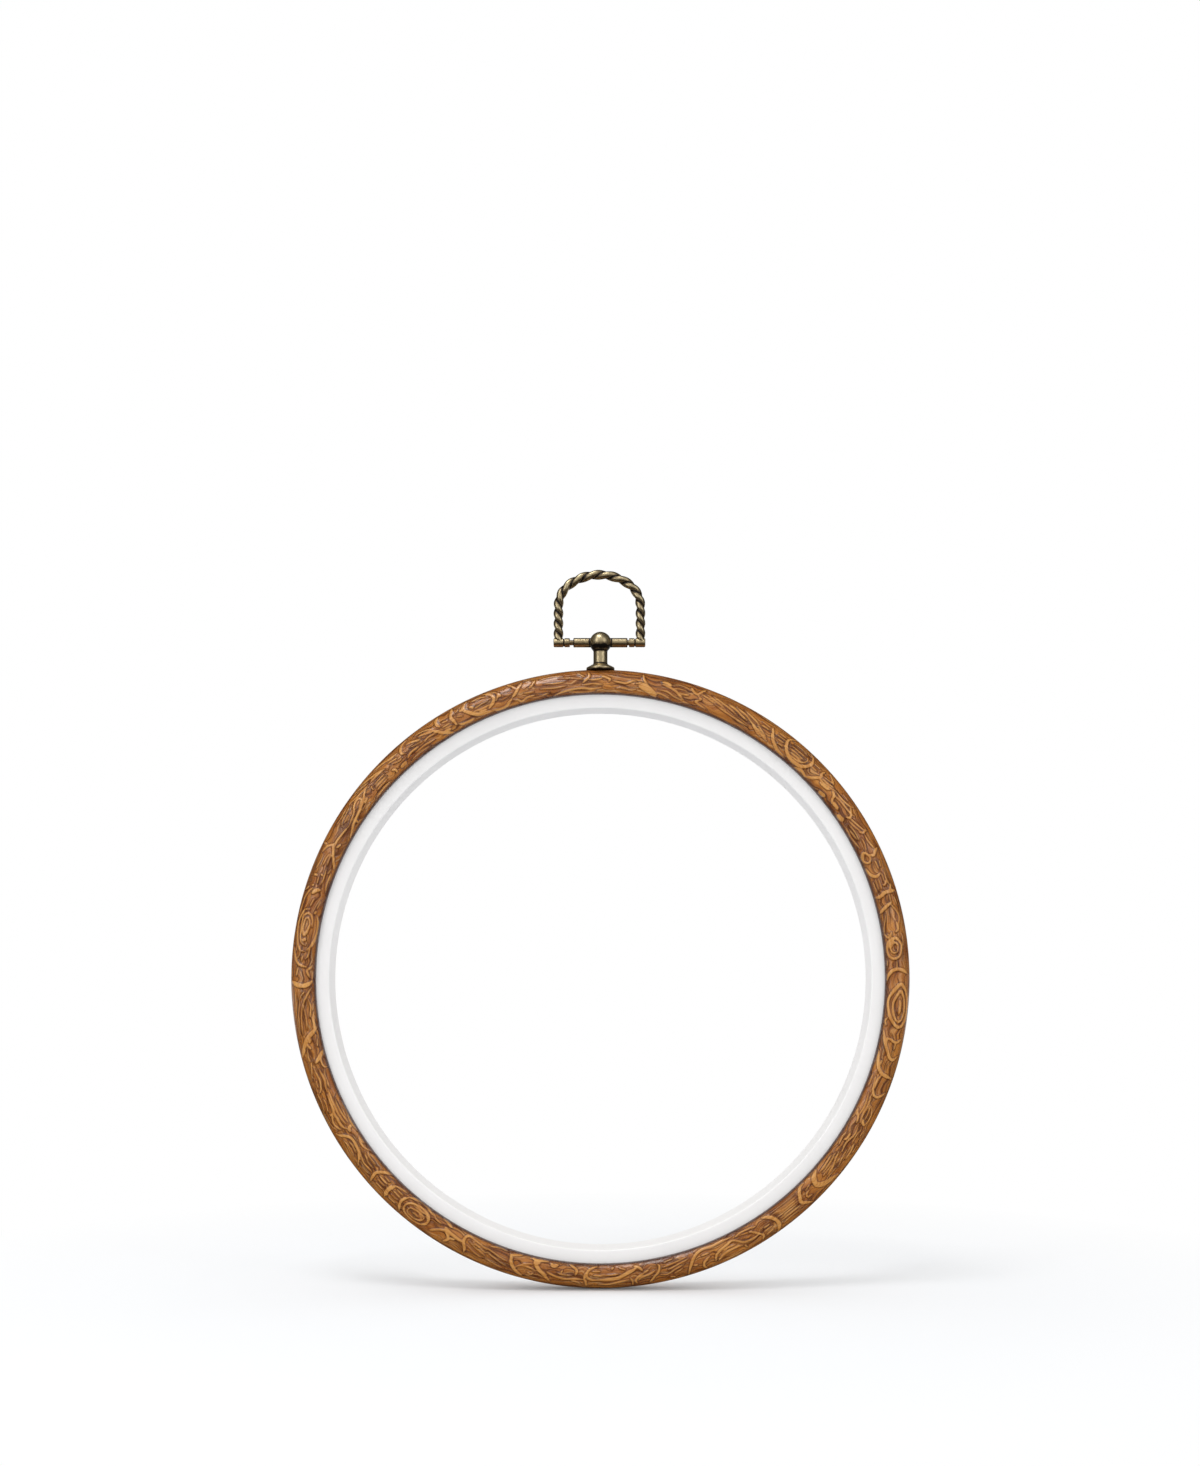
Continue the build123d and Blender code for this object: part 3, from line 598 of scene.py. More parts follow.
def smooth_line(points, spacing):
    """Points close together along a smooth line through the given ones."""
    points = np.array(points)
    padded = np.vstack((2 * points[0] - points[1], points, 2 * points[-1] - points[-2]))
    line = []
    for a, b, c, d in zip(padded, padded[1:], padded[2:], padded[3:]):
        steps = max(2, int(np.linalg.norm(c - b) / spacing))
        t = np.linspace(0, 1, steps, endpoint=False)[:, None]
        line.append(0.5 * (2 * b + (c - a) * t + (2 * a - 5 * b + 4 * c - d) * t**2 + (3 * b - a - 3 * c + d) * t**3))
    return np.vstack(line + [points[-1:]])


band_radius = 87.0
around = 2 * math.pi * band_radius
column_arc = around / columns
widest_gap, rib_reach, line_spacing = 3.0, 2.0, 0.12
end_width_share, taper_steepness = 0.45, 5
rib_gap = np.full((len(row_walks), columns), widest_gap)


def press_rib(half_width, places, is_ring):
    """Mark a rib on the grid: how far each point is outside its edge, in millimetres, or inside it, below zero."""
    ends = places[-2:-1] if is_ring else []
    line = smooth_line(list(ends) + list(places) + (list(places[:2]) if is_ring else []), line_spacing)
    position = np.linspace(0, 1, len(line))
    from_end = np.clip(np.minimum(position, 1 - position) * taper_steepness, 0, 1)
    taper = np.ones(len(line)) if is_ring else end_width_share + (1 - end_width_share) * from_end
    low = math.floor((line[:, 0].min() - rib_reach) / column_arc)
    high = math.ceil((line[:, 0].max() + rib_reach) / column_arc)
    window = np.arange(low, high + 1)
    rows = np.nonzero((row_walks > line[:, 1].min() - rib_reach) & (row_walks < line[:, 1].max() + rib_reach))[0]
    across = (window * column_arc)[None, :, None] - line[None, None, :, 0]
    along = row_walks[rows][:, None, None] - line[None, None, :, 1]
    gap = (np.sqrt(across**2 + along**2) - half_width * taper).min(axis=2)
    grid = np.ix_(rows, window % columns)
    rib_gap[grid] = np.minimum(rib_gap[grid], gap)


# The embossing repeats on the back half of the ring, turned and mirrored across the ring's outside
back_turn, least_back_rib = 137.0, 0.4
for line_text in ribs_text.split("\n"):
    words = line_text.split()
    if not words:
        continue
    is_ring = words[-1] == "."
    numbers = [float(word) for word in words[:len(words) - is_ring]]
    degrees, shares = np.array(numbers[1::2]), np.array(numbers[2::2])
    if degrees.max() - degrees.min() > 180:
        degrees = np.where(degrees < 180, degrees + 360, degrees)
    walks = np.interp(shares, front_shares, front_walks)
    press_rib(numbers[0], np.stack((degrees / 360 * around, walks), axis=1), is_ring)
    back_walks = 2 * half_round_middle - walks
    back_degrees = back_turn - degrees
    press_rib(max(numbers[0], least_back_rib), np.stack((back_degrees / 360 * around, back_walks), axis=1), is_ring)

# The ribs stand up to the solid's surface, and the ground between them lies a little lower. The seat is plain.
grained = np.clip((row_walks - plain_at_lip) / lip_fade, 0, 1)
grained *= np.clip((seat_start - plain_at_seat - row_walks) / seat_fade, 0, 1)
sunk = np.clip((rib_gap + rib_slope * slope_inside_share) / (rib_slope * (1 + slope_inside_share)), 0, 1)
sunk = sunk**2 * (3 - 2 * sunk) * rib_depth * grained[:, None]
row_places = at_walk(row_walks)
nudge = 0.01
tangents = at_walk(row_walks + nudge) - at_walk(row_walks - nudge)
tangents /= np.linalg.norm(tangents, axis=1)[:, None]
inward = np.stack((tangents[:, 1], -tangents[:, 0]), axis=1)
inward *= np.sign(((np.array(section_middle) - row_places) * inward).sum(axis=1))[:, None]
angles = np.arange(columns) * 2 * math.pi / columns
radii = row_places[:, :1] + inward[:, :1] * sunk
depths = row_places[:, 1:] + inward[:, 1:] * sunk
points = np.stack((radii * np.sin(angles), depths, hoop_centre + radii * np.cos(angles)), axis=-1).reshape(-1, 3)
outer_ring = mesh_piece("outer_moulding", points, ring_faces(len(row_walks), columns, True), sharp_degrees=60)
keep_attribute(outer_ring, "rib_gap", rib_gap.ravel())
keep_attribute(outer_ring, "across", np.repeat(row_walks, columns))

# The seat for the hanger's foot on top, the screw's hole, and the pocket for its head and washer
foot_seat_radius = foot_radius + 0.15
above, below = crown_top + 1, pocket_floor - 3
hole_outline = [(0, above), (foot_seat_radius, above), (foot_seat_radius, foot_floor), (screw_hole_radius, foot_floor),
                (screw_hole_radius, pocket_floor), (pocket_radius, pocket_floor), (pocket_radius, below), (0, below)]
cut(outer_ring, turned("foot_cutter", hole_outline, round_post))

# Inner ring: a smooth moulded ring whose bore narrows a little towards the back
inner_outline = rounded([
    (inner_mouth, lip_back, inner_edge_radius), (inner_outside, lip_back, inner_edge_radius),
    (inner_outside, half_depth, inner_edge_radius), (inner_back_bore, half_depth, inner_edge_radius),
], steps=6)
inner_ring = turned("inner_ring_moulding", inner_outline, round_hoop, segments=720, closed=True)

# Hanger post: foot, neck and ball in one casting, bored across for the bar
foot_edge_radius, neck_fillet, neck_top = 0.3, 0.7, pivot_height - 3.2
foot_line = rounded([
    (0, foot_floor, 0), (foot_radius, foot_floor, foot_edge_radius), (foot_radius, foot_rim_top, foot_edge_radius),
    (neck_radius, foot_top, neck_fillet), (neck_radius, neck_top, 0), (0, pivot_height, 0),
], steps=8)
fillet_centre_height = pivot_height - math.sqrt((ball_radius + neck_fillet)**2 - (neck_radius + neck_fillet)**2)
ball_angle = math.degrees(math.atan2(fillet_centre_height - pivot_height, neck_radius + neck_fillet))
post_outline = [tuple(p) for p in foot_line if p[1] < fillet_centre_height - 0.1]
post_outline += arc((neck_radius + neck_fillet, fillet_centre_height), neck_fillet, 180, 180 + ball_angle, 8)
post_outline += arc((0, pivot_height), ball_radius, ball_angle, 90, 40)
hanger_post = turned("hanger_post_casting", closer(post_outline), round_post)
bore_reach = 6
bore_outline = [(0, -bore_reach), (crossbar_radius, -bore_reach), (crossbar_radius, bore_reach), (0, bore_reach)]
cut(hanger_post, turned("bore_cutter", bore_outline, round_pivot, segments=64))

# Crossbar: a short tube through the ball
bar_outline = rounded([
    (crossbar_bore_radius, -crossbar_half, 0), (crossbar_radius, -crossbar_half, crossbar_edge_radius),
    (crossbar_radius, crossbar_half, crossbar_edge_radius), (crossbar_bore_radius, crossbar_half, 0),
], steps=5)
crossbar = turned("crossbar_tube", closer(bar_outline), round_pivot, segments=64, closed=True)

# Screw and washer, from inside the seat
head_underside, screw_tip, head_radius, thread_radius, washer_radius = -31.15, -22.6, 2, 1, 2.5
head_top = head_underside - 1.5
screw_outline = rounded([(0, head_top, 0), (head_radius, head_top, 0.4), (head_radius, head_underside, 0.1),
                         (thread_radius, head_underside, 0), (thread_radius, screw_tip, 0.25), (0, screw_tip, 0)],
                        steps=5)
hanger_screw = turned("pan_head_screw", screw_outline, round_post, segments=48)
washer_outline = rounded([(screw_hole_radius, head_underside, 0.05), (washer_radius, head_underside, 0.08),
                          (washer_radius, pocket_floor, 0.08), (screw_hole_radius, pocket_floor, 0.05)], steps=3)
screw_washer = turned("flat_washer", washer_outline, round_post, segments=64, closed=True)

# Bail: two strands cast as a left-handed rope, along two straight legs and an arch of three arcs
bail_shift, leg_centre, leg_height, crown_height = -0.292, 11.925, 10.5, 19.775
side_arc_radius, rope_start, leg_steps, arc_steps = 8.07, 0.585, 40, 60
arch_rise = crown_height - leg_height
side_centre = leg_centre - side_arc_radius
crown_arc_radius = (side_centre**2 + arch_rise**2 - side_arc_radius**2) / (2 * (arch_rise - side_arc_radius))
crown_centre = crown_height - crown_arc_radius
meeting_angle = math.degrees(math.atan2(leg_height - crown_centre, side_centre))
right_half = [(leg_centre, height) for height in np.linspace(rope_start, leg_height, leg_steps, endpoint=False)]
right_half += arc((side_centre, leg_height), side_arc_radius, 0, meeting_angle, arc_steps)[:-1]
right_half += arc((0, crown_centre), crown_arc_radius, meeting_angle, 90, arc_steps)
rope_line = right_half + [(-across, height) for across, height in right_half[-2::-1]]

strand_radius, strand_offset = 1.0463, 0.3787
rope_sizes = {"Strand radius": strand_radius * mm, "Strand offset": strand_offset * mm, "Leg lay": 5.9 * mm,
              "Crown lay": 8.8 * mm, "Leg top": (pivot_height + leg_height) * mm,
              "Crown": (pivot_height + crown_height) * mm, "Sections": 481, "Corners": 40}


def rope_tree(finish):
    """Geometry Nodes: two strands swept along the bail's line and turned by the lay, with no turn at the crown."""
    tree = bpy.data.node_groups.new("cast_rope", "GeometryNodeTree")
    tree.interface.new_socket("Line", in_out="INPUT", socket_type="NodeSocketGeometry")
    tree.interface.new_socket("Rope", in_out="OUTPUT", socket_type="NodeSocketGeometry")
    for name, size in rope_sizes.items():
        kind = "NodeSocketInt" if isinstance(size, int) else "NodeSocketFloat"
        tree.interface.new_socket(name, in_out="INPUT", socket_type=kind)
    given = node(tree, "NodeGroupInput", take=None)
    line = node(tree, "GeometryNodeResampleCurve", {"Curve": given["Line"], "Count": given["Sections"]})
    line = node(tree, "GeometryNodeSetCurveNormal", {"Curve": line, "Normal": (0, 1, 0)}, mode="FREE")
    height = node(tree, "SeparateXYZ", {0: node(tree, "GeometryNodeInputPosition")}, take="Z")
    lay = node(tree, "MapRange", {"Value": height, "From Min": given["Leg top"], "From Max": given["Crown"],
                                  "To Min": given["Leg lay"], "To Max": given["Crown lay"]})
    length = node(tree, "GeometryNodeCurveLength", {0: line})
    spans = node(tree, "Math", {0: given["Sections"], 1: 1.0}, operation="SUBTRACT")
    span = node(tree, "Math", {0: length, 1: spans}, operation="DIVIDE")
    turn = node(tree, "Math", {0: span, 1: lay}, operation="DIVIDE")
    turn = node(tree, "Math", {0: turn, 1: -2 * math.pi}, operation="MULTIPLY")
    tilt = node(tree, "GeometryNodeAccumulateField", {"Value": turn}, take="Trailing")
    middle = node(tree, "Math", {0: spans, 1: 2.0}, operation="DIVIDE")
    crown_tilt = node(tree, "GeometryNodeFieldAtIndex", {"Value": tilt, "Index": middle})
    tilt = node(tree, "Math", {0: tilt, 1: crown_tilt}, operation="SUBTRACT")
    line = node(tree, "GeometryNodeSetCurveTilt", {"Curve": line, "Tilt": tilt})

    circle = node(tree, "GeometryNodeCurvePrimitiveCircle", {"Resolution": given["Corners"], "Radius": 1.0})
    place = node(tree, "GeometryNodeInputPosition")
    parts = node(tree, "SeparateXYZ", {0: place}, take=None)
    rise = node(tree, "Math", {0: parts["Y"]}, operation="ABSOLUTE")
    rise, width = (node(tree, "Math", {0: part, 1: given["Strand offset"]}, operation="MULTIPLY")
                   for part in (rise, parts["X"]))
    width = node(tree, "Math", {0: width, 1: 2.0}, operation="POWER")
    square = node(tree, "Math", {0: given["Strand radius"], 1: 2.0}, operation="POWER")
    square = node(tree, "Math", {0: square, 1: width}, operation="SUBTRACT")
    root = node(tree, "Math", {0: square}, operation="SQRT")
    reach = node(tree, "Math", {0: rise, 1: root}, operation="ADD")
    least, most = (node(tree, "Math", {0: given["Strand radius"], 1: given["Strand offset"]}, operation=operation)
                   for operation in ("SUBTRACT", "ADD"))
    patina = node(tree, "MapRange", {"Value": reach, "From Min": least, "From Max": most, "To Min": 1.8, "To Max": 0.0})
    lobes = node(tree, "GeometryNodeStoreNamedAttribute", {"Geometry": circle, "Name": "patina", "Value": patina},
                 domain="POINT")
    lobe_place = node(tree, "VectorMath", {0: place, "Scale": reach}, operation="SCALE")
    lobes = node(tree, "GeometryNodeSetPosition", {"Geometry": lobes, "Position": lobe_place})
    rope = node(tree, "GeometryNodeCurveToMesh", {"Curve": line, "Profile Curve": lobes, "Fill Caps": True})
    rope = node(tree, "GeometryNodeRealizeInstances", {"Geometry": rope})
    rope = node(tree, "GeometryNodeSetMaterial", {"Geometry": rope, "Material": finish})
    node(tree, "NodeGroupOutput", {"Rope": rope})
    return tree


def cast_rope(finish):
    line = bpy.data.curves.new("rope_line", "CURVE")
    line.dimensions = "3D"
    spline = line.splines.new("POLY")
    spline.points.add(len(rope_line) - 1)
    for point, (across, height) in zip(spline.points, rope_line):
        point.co = ((bail_shift + across) * mm, 0, (pivot_height + height) * mm, 1)
    carrier = new_object("rope_line", line)
    sweep = carrier.modifiers.new("cast_rope", "NODES")
    sweep.node_group = rope_tree(finish)
    for socket in sweep.node_group.interface.items_tree:
        if socket.in_out == "INPUT" and socket.name in rope_sizes:
            sweep[socket.identifier] = rope_sizes[socket.name]
    mesh = bpy.data.meshes.new_from_object(carrier.evaluated_get(bpy.context.evaluated_depsgraph_get()))
    bpy.data.objects.remove(carrier)
    mesh.shade_smooth()
    return new_object("bail_rope", mesh)


# The bail's foot, collar and pivot at each side, turned about the crossbar's axis
pivot_end, collar_inside, collar_outside, leg_inside, leg_outside = 4.87, 8.6, 10.2, 10.5, 13.35
pivot_radius, collar_neck_radius, collar_radius = 0.75, 1.05, 1.3
foot_section = rounded([
    (0, pivot_end, 0), (pivot_radius, pivot_end, 0.15), (pivot_radius, collar_inside, 0),
    (collar_radius, collar_inside, 0.18), (collar_radius, collar_outside, 0.18),
    (collar_neck_radius, collar_outside, 0), (collar_neck_radius, leg_inside, 0),
    (collar_radius, leg_inside, 0.12), (collar_radius, leg_outside, 0.35), (0, leg_outside, 0),
], steps=6)


def brass_finish():
    """Antique brass: a zinc casting, brass plated, blackened, then rubbed so that only its high places shine."""
    finish, tree = new_material("antique_brass")
    place = node(tree, "TexCoord", take="Object")
    patina = node(tree, "Attribute", attribute_name="patina", take="Fac")
    mottle = node(tree, "TexNoise", {"Vector": place, "Scale": 1 / (1.1 * mm), "Detail": 2.0})
    spread = node(tree, "MapRange", {"Value": mottle, "From Min": 0.3, "From Max": 0.7, "To Min": -0.05,
                                     "To Max": 0.25})
    age = node(tree, "Math", {0: patina, 1: spread}, operation="ADD", use_clamp=True)
    rubbed = node(tree, "Mix", {"Factor": age, "A": colour("#E4D4AC"), "B": colour("#705430")}, data_type="RGBA",
                  take="Result")
    deep = node(tree, "MapRange", {"Value": age, "From Min": 0.5, "From Max": 0.95})
    tone = node(tree, "Mix", {"Factor": deep, "A": rubbed, "B": colour("#140C05")}, data_type="RGBA", take="Result")
    metal = node(tree, "MapRange", {"Value": deep, "To Min": 1.0, "To Max": 0.3})
    rough = node(tree, "MapRange", {"Value": mottle, "To Min": 0.3, "To Max": 0.42})
    shade = node(tree, "BsdfPrincipled", {"Base Color": tone, "Metallic": metal, "Roughness": rough})
    node(tree, "OutputMaterial", {"Surface": shade})
    return finish


def vinyl_finish():
    """Flexible vinyl moulded with carved-looking ribs and printed wood grain, with a satin shine."""
    finish, tree = new_material("wood_look_vinyl")
    place = node(tree, "TexCoord", take="Object")
    gap = node(tree, "Attribute", attribute_name="rib_gap", take="Fac")
    across = node(tree, "Attribute", attribute_name="across", take="Fac")
    # The grain follows the band, swings slowly from side to side, and lies along the ribs near them
    band_pull, swing_pull, rib_pull, rib_hold = 0.9, 4.5, 0.45, 1.5
    swing = node(tree, "TexNoise", {"Vector": place, "Scale": 1 / (10 * mm), "Detail": 1.0})
    near = node(tree, "Math", {0: gap, 1: rib_hold}, operation="MINIMUM")
    near = node(tree, "Math", {0: near, 1: rib_pull}, operation="MULTIPLY")
    flow = node(tree, "Math", {0: across, 1: band_pull, 2: near}, operation="MULTIPLY_ADD")
    flow = node(tree, "Math", {0: swing, 1: swing_pull, 2: flow}, operation="MULTIPLY_ADD")
    parts = node(tree, "SeparateXYZ", {0: place}, take=None)

    def grain_noise(length, width, detail):
        """Noise in streaks of a length along the band and a width across the grain, in mm."""
        streak = [node(tree, "Math", {0: part, 1: 1 / size}, operation="MULTIPLY")
                  for part, size in ((parts["X"], length * mm), (parts["Z"], length * mm), (flow, width))]
        streak = node(tree, "CombineXYZ", dict(enumerate(streak)))
        return node(tree, "TexNoise", {"Vector": streak, "Scale": 1.0, "Detail": detail})

    fine = grain_noise(8.0, 0.42, 2.0)
    # Carved lines about 1 mm apart, that fade and meet
    carved = node(tree, "MapRange", {"Value": grain_noise(11.0, 0.55, 2.0), "From Min": 0.5, "From Max": 0.38})
    streaks = node(tree, "MapRange", {"Value": fine, "From Min": 0.35, "From Max": 0.65})
    patch = node(tree, "TexNoise", {"Vector": place, "Scale": 1 / (9 * mm), "Detail": 2.0})
    speck = node(tree, "TexNoise", {"Vector": place, "Scale": 1 / (0.35 * mm), "Detail": 2.0})
    dull = node(tree, "MapRange", {"Value": patch, "From Min": 0.4, "From Max": 0.7, "To Min": 0.0, "To Max": 0.7})
    depth = node(tree, "MapRange", {"Value": carved, "To Min": 0.0, "To Max": 0.85})
    # Painted highlight: thin broken pale lines along some ridges, where glints of light would catch them
    painted_glint = node(tree, "MapRange", {"Value": grain_noise(9.0, 0.3, 1.0), "From Min": 0.6, "From Max": 0.68,
                                   "To Min": 0.0, "To Max": 0.5})
    # Over a rib's edge: the groove's two sides, the rib's rubbed top, and how far it stands up
    edge_low, edge_high, on_rib, raised = (
        node(tree, "MapRange", {"Value": gap, "From Min": none, "From Max": full})
        for none, full in ((-0.06, 0.08), (0.35, 0.1), (0.02, -0.22), (0.2, -0.15)))
    edge = node(tree, "Math", {0: edge_low, 1: edge_high}, operation="MULTIPLY")
    edge = node(tree, "Math", {0: edge, 1: 0.75}, operation="MULTIPLY")
    # Painted shade: a dark line along the lip's inner edge, for the shadow gap between the lip and the white ring
    lip_edge = node(tree, "MapRange", {"Value": across, "From Min": 2.0, "From Max": 1.15})
    # Painted shade: the outside of the ring darkened, for its rounded edge turning away from the light
    side = node(tree, "Math", {0: across, 1: half_round_middle}, operation="SUBTRACT")
    side = node(tree, "Math", {0: side}, operation="ABSOLUTE")
    side = node(tree, "MapRange", {"Value": side, "From Min": 1.0, "From Max": 3.6, "To Min": 0.55, "To Max": 0.0})
    # The colours, laid over the ground in turn: dull patches, the carved lines, painted highlights on some ridges, the
    # groove along each rib, where it is darkest, the golden ribs, painted shade at the lip's edge, and painted shade
    # over the outside of the ring, which is least seen
    tone, ribs = (
        node(tree, "Mix", {"Factor": streaks, "A": colour(dark), "B": colour(light)}, data_type="RGBA", take="Result")
        for dark, light in (("#9A5814", "#C27F32"), ("#B87830", "#D49A52")))
    for share, print_colour in (
            (dull, colour("#884818")), (depth, colour("#5C2A02")), (painted_glint, colour("#D4A468")), (edge, colour("#602C02")),
            (on_rib, ribs), (lip_edge, colour("#441C02")), (side, colour("#5A3212"))):
        tone = node(tree, "Mix", {"Factor": share, "A": tone, "B": print_colour}, data_type="RGBA", take="Result")
    plain = node(tree, "Math", {0: 1.0, 1: on_rib}, operation="SUBTRACT")
    lines = node(tree, "Math", {0: carved, 1: plain}, operation="MULTIPLY")
    sunk = node(tree, "Math", {0: lines, 1: -1.2, 2: raised}, operation="MULTIPLY_ADD")
    height = node(tree, "Math", {0: fine, 1: 0.7, 2: sunk}, operation="MULTIPLY_ADD")
    bump = node(tree, "Bump", {"Height": height, "Strength": 1.0, "Distance": 0.2 * mm})
    rough = node(tree, "MapRange", {"Value": speck, "To Min": 0.2, "To Max": 0.38})
    shade = node(tree, "BsdfPrincipled", {"Base Color": tone, "Roughness": rough, "Normal": bump, "IOR": 1.53,
                                          "Coat Weight": 0.6, "Coat Roughness": 0.2})
    node(tree, "OutputMaterial", {"Surface": shade})
    return finish


def plastic_finish():
    """White injection-moulded polystyrene: hard and even, with a satin mould surface."""
    finish, tree = new_material("white_polystyrene")
    place = node(tree, "TexCoord", take="Object")
    cloud = node(tree, "TexNoise", {"Vector": place, "Scale": 1 / (14 * mm), "Detail": 2.0})
    tone = node(tree, "Mix", {"Factor": cloud, "A": colour("#EEEDED"), "B": colour("#F4F3F3")}, data_type="RGBA",
                take="Result")
    # Spark-eroded mould texture, drawn at 0.25 mm where the real one is about 0.05 mm
    grit = node(tree, "TexNoise", {"Vector": place, "Scale": 1 / (0.25 * mm), "Detail": 2.0})
    bump = node(tree, "Bump", {"Height": grit, "Strength": 0.12, "Distance": 0.02 * mm})
    rough = node(tree, "MapRange", {"Value": grit, "To Min": 0.36, "To Max": 0.46})
    shade = node(tree, "BsdfPrincipled", {"Base Color": tone, "Roughness": rough, "Normal": bump, "IOR": 1.59})
    node(tree, "OutputMaterial", {"Surface": shade})
    return finish


def steel_finish():
    """Nickel-plated steel: cold-headed and tumbled, a little uneven in shine."""
    finish, tree = new_material("nickel_plated_steel")
    place = node(tree, "TexCoord", take="Object")
    wear = node(tree, "TexNoise", {"Vector": place, "Scale": 1 / (0.4 * mm), "Detail": 3.0})
    tone = node(tree, "Mix", {"Factor": wear, "A": colour("#A9A8A2"), "B": colour("#C9C8C2")}, data_type="RGBA",
                take="Result")
    rough = node(tree, "MapRange", {"Value": wear, "To Min": 0.22, "To Max": 0.42})
    shade = node(tree, "BsdfPrincipled", {"Base Color": tone, "Metallic": 1.0, "Roughness": rough})
    node(tree, "OutputMaterial", {"Surface": shade})
    return finish


vinyl, plastic, brass, steel = vinyl_finish(), plastic_finish(), brass_finish(), steel_finish()


def darken(piece, dark_rings, along, least=0.1):
    """Old patina where the rubbing doesn't reach: each ring is a place along the piece, and how far it spreads."""
    places = np.empty(len(piece.data.vertices) * 3)
    piece.data.vertices.foreach_get("co", places)
    places = places.reshape(-1, 3)[:, along] / mm
    patina = np.full(len(places), least)
    for place, spread in dark_rings:
        patina = np.maximum(patina, np.exp(-((places - place) / spread)**2))
    keep_attribute(piece, "patina", patina)


ball_foot = pivot_height - math.sqrt(ball_radius**2 - neck_radius**2)
darken(hanger_post, [(foot_floor, 0.6), (foot_top + 0.1, 0.3), (ball_foot, 0.45), (ball_foot + 1, 1.2)], 2)
darken(crossbar, [(-crossbar_half, 0.4), (crossbar_half, 0.4), (-ball_radius, 0.4), (ball_radius, 0.4)], 0, 0.22)

rope = cast_rope(brass)
finish_piece(rope, brass, "bail", "antique_brass", "bail")
for side, side_name in ((-1, "left"), (1, "right")):
    outline = [(radius, bail_shift + side * along) for radius, along in closer(foot_section)]
    bail_foot = turned(f"bail_foot_{side_name}", outline, round_pivot, segments=64)
    darken(bail_foot, [(bail_shift + side * (leg_inside - 0.15), 0.25), (bail_shift + side * 4.9, 3.6)], 0)
    finish_piece(bail_foot, brass, "bail", "antique_brass", "bail")
finish_piece(outer_ring, vinyl, "outer_ring", "wood_look_vinyl", "outer_ring")
finish_piece(inner_ring, plastic, "inner_ring", "white_plastic", "inner_ring")
finish_piece(hanger_post, brass, "hanger", "antique_brass", "hanger_post")
finish_piece(crossbar, brass, "hanger", "antique_brass", "crossbar")
finish_piece(hanger_screw, steel, "hanger", "plated_steel", "hanger_screw")
finish_piece(screw_washer, steel, "outer_ring", "plated_steel", "screw_washer")


# Floor and studio: white for the camera, with the hoop's soft shadow on the floor. The hoop mirrors a room that is
# pale in front, dark at the sides, for contrast in the brass, and white behind.
floor_height = hoop_centre - hoop_radius


def floor_finish():
    """White paper sweep, exposed to white."""
    finish, tree = new_material("white_paper")
    paper = node(tree, "BsdfDiffuse", {"Color": colour("#ECEEF1")})
    lift = node(tree, "Emission", {"Color": colour("#FFFFFF"), "Strength": 0.06})
    lifted = node(tree, "AddShader", {0: paper, 1: lift})
    # Away from the hoop the sweep is plain white, so no horizon shows
    place = node(tree, "TexCoord", take="Object")
    away = node(tree, "VectorMath", {0: place}, operation="LENGTH", take="Value")
    far = node(tree, "MapRange", {"Value": away, "From Min": 0.12, "From Max": 0.24})
    plain = node(tree, "Emission", {"Color": colour("#FFFFFF"), "Strength": 1.0})
    lifted = node(tree, "MixShader", {0: far, 1: lifted, 2: plain})
    path = node(tree, "LightPath", take=None)
    seen = node(tree, "Math", {0: path["Is Camera Ray"], 1: path["Is Transmission Ray"]}, operation="MAXIMUM")
    shown = node(tree, "MixShader", {0: seen, 1: paper, 2: lifted})
    # Seen in the brass, the sweep ends in front of the hoop and the dark studio floor begins
    depth = node(tree, "SeparateXYZ", {0: place}, take="Y")
    behind = node(tree, "MapRange", {"Value": depth, "From Min": 0.4, "From Max": 0.8})
    dark = node(tree, "Emission", {"Color": colour("#8C7A66"), "Strength": 0.12})
    mirrored = node(tree, "MixShader", {0: behind, 1: dark, 2: lifted})
    shown = node(tree, "MixShader", {0: path["Is Glossy Ray"], 1: shown, 2: mirrored})
    node(tree, "OutputMaterial", {"Surface": shown})
    return finish


half_floor = 3.0
floor_mesh = bpy.data.meshes.new("paper_floor")
floor_mesh.from_pydata([(x * half_floor, y * half_floor, 0) for x, y in
                        ((-1, -1), (1, -1), (1, 1), (-1, 1))], [], [(0, 1, 2, 3)])
floor = new_object("paper_floor", floor_mesh)
floor.location = (0, 0, floor_height * mm)
floor_mesh.materials.append(floor_finish())

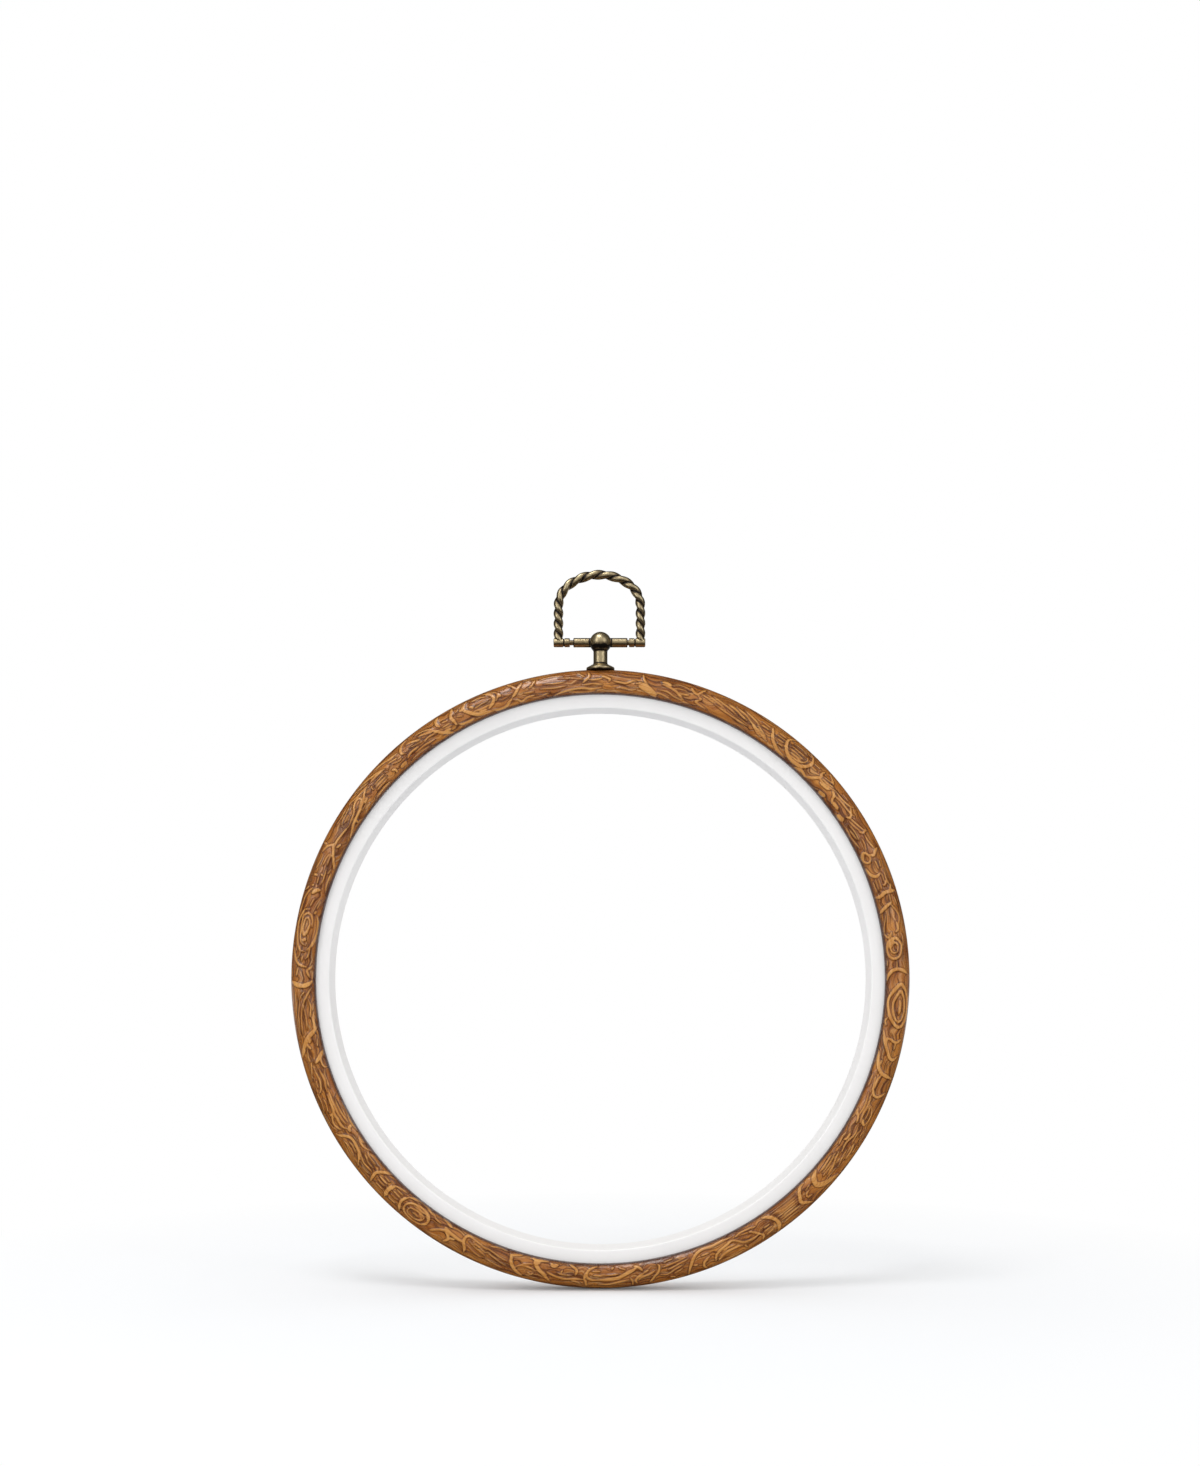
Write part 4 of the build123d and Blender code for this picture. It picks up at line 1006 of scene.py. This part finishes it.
world = bpy.data.worlds.new("studio")
world.use_nodes = True
world.node_tree.nodes.clear()
studio = world.node_tree
path = node(studio, "LightPath", take=None)
ambient = node(studio, "Background", {"Color": colour("#FFFEFC"), "Strength": 0.86})
white = node(studio, "Background", {"Color": colour("#FFFFFF"), "Strength": 1.0})
direction = node(studio, "SeparateXYZ", {0: node(studio, "TexCoord", take="Generated")}, take="Y")
front = node(studio, "MapRange", {"Value": direction, "From Min": -0.75, "From Max": -0.15, "To Min": 0.6,
                                  "To Max": 0.02})
room = node(studio, "Background", {"Color": colour("#F4F0EA"), "Strength": front})
behind = node(studio, "MapRange", {"Value": direction, "From Min": 0.88, "From Max": 0.95})
reflected = node(studio, "MixShader", {0: behind, 1: room, 2: white})
lit = node(studio, "MixShader", {0: path["Is Glossy Ray"], 1: ambient, 2: reflected})
seen = node(studio, "Math", {0: path["Is Camera Ray"], 1: path["Is Transmission Ray"]}, operation="MAXIMUM")
shown = node(studio, "MixShader", {0: seen, 1: lit, 2: white})
node(studio, "OutputWorld", {"Surface": shown})
bpy.context.scene.world = world


def softbox(name, place, aim, width, height, watts):
    """A rectangular soft lamp at a place in metres, turned towards a point."""
    lamp = bpy.data.lights.new(name, "AREA")
    lamp.shape = "RECTANGLE"
    lamp.size, lamp.size_y, lamp.energy = width, height, watts
    x, y, z = np.array(aim) - np.array(place)
    holder = new_object(name, lamp)
    holder.location = place
    holder.rotation_euler = (math.atan2(z, math.hypot(x, y)) + math.pi / 2, 0, math.atan2(y, x) - math.pi / 2)


middle = (0, 0, hoop_centre * mm)
softbox("overhead_softbox", (-0.2, -0.34, 0.8), middle, 0.4, 0.3, 2.3)
softbox("left_softbox", (-0.9, -0.95, 0.25), middle, 0.3, 1.2, 2.3)
softbox("right_softbox", (0.9, -0.95, 0.25), middle, 0.3, 1.2, 1.6)

camera = bpy.data.cameras.new("camera")
camera.lens, camera.sensor_width = 43.88, 36.0
camera.shift_x, camera.shift_y = -0.0003, 0.1678
viewer = new_object("camera", camera)
viewer.location, viewer.rotation_euler = (0, -camera_distance * mm, hoop_centre * mm), (math.pi / 2, 0, 0)
bpy.context.scene.camera = viewer
bpy.context.scene.view_settings.view_transform = "Standard"
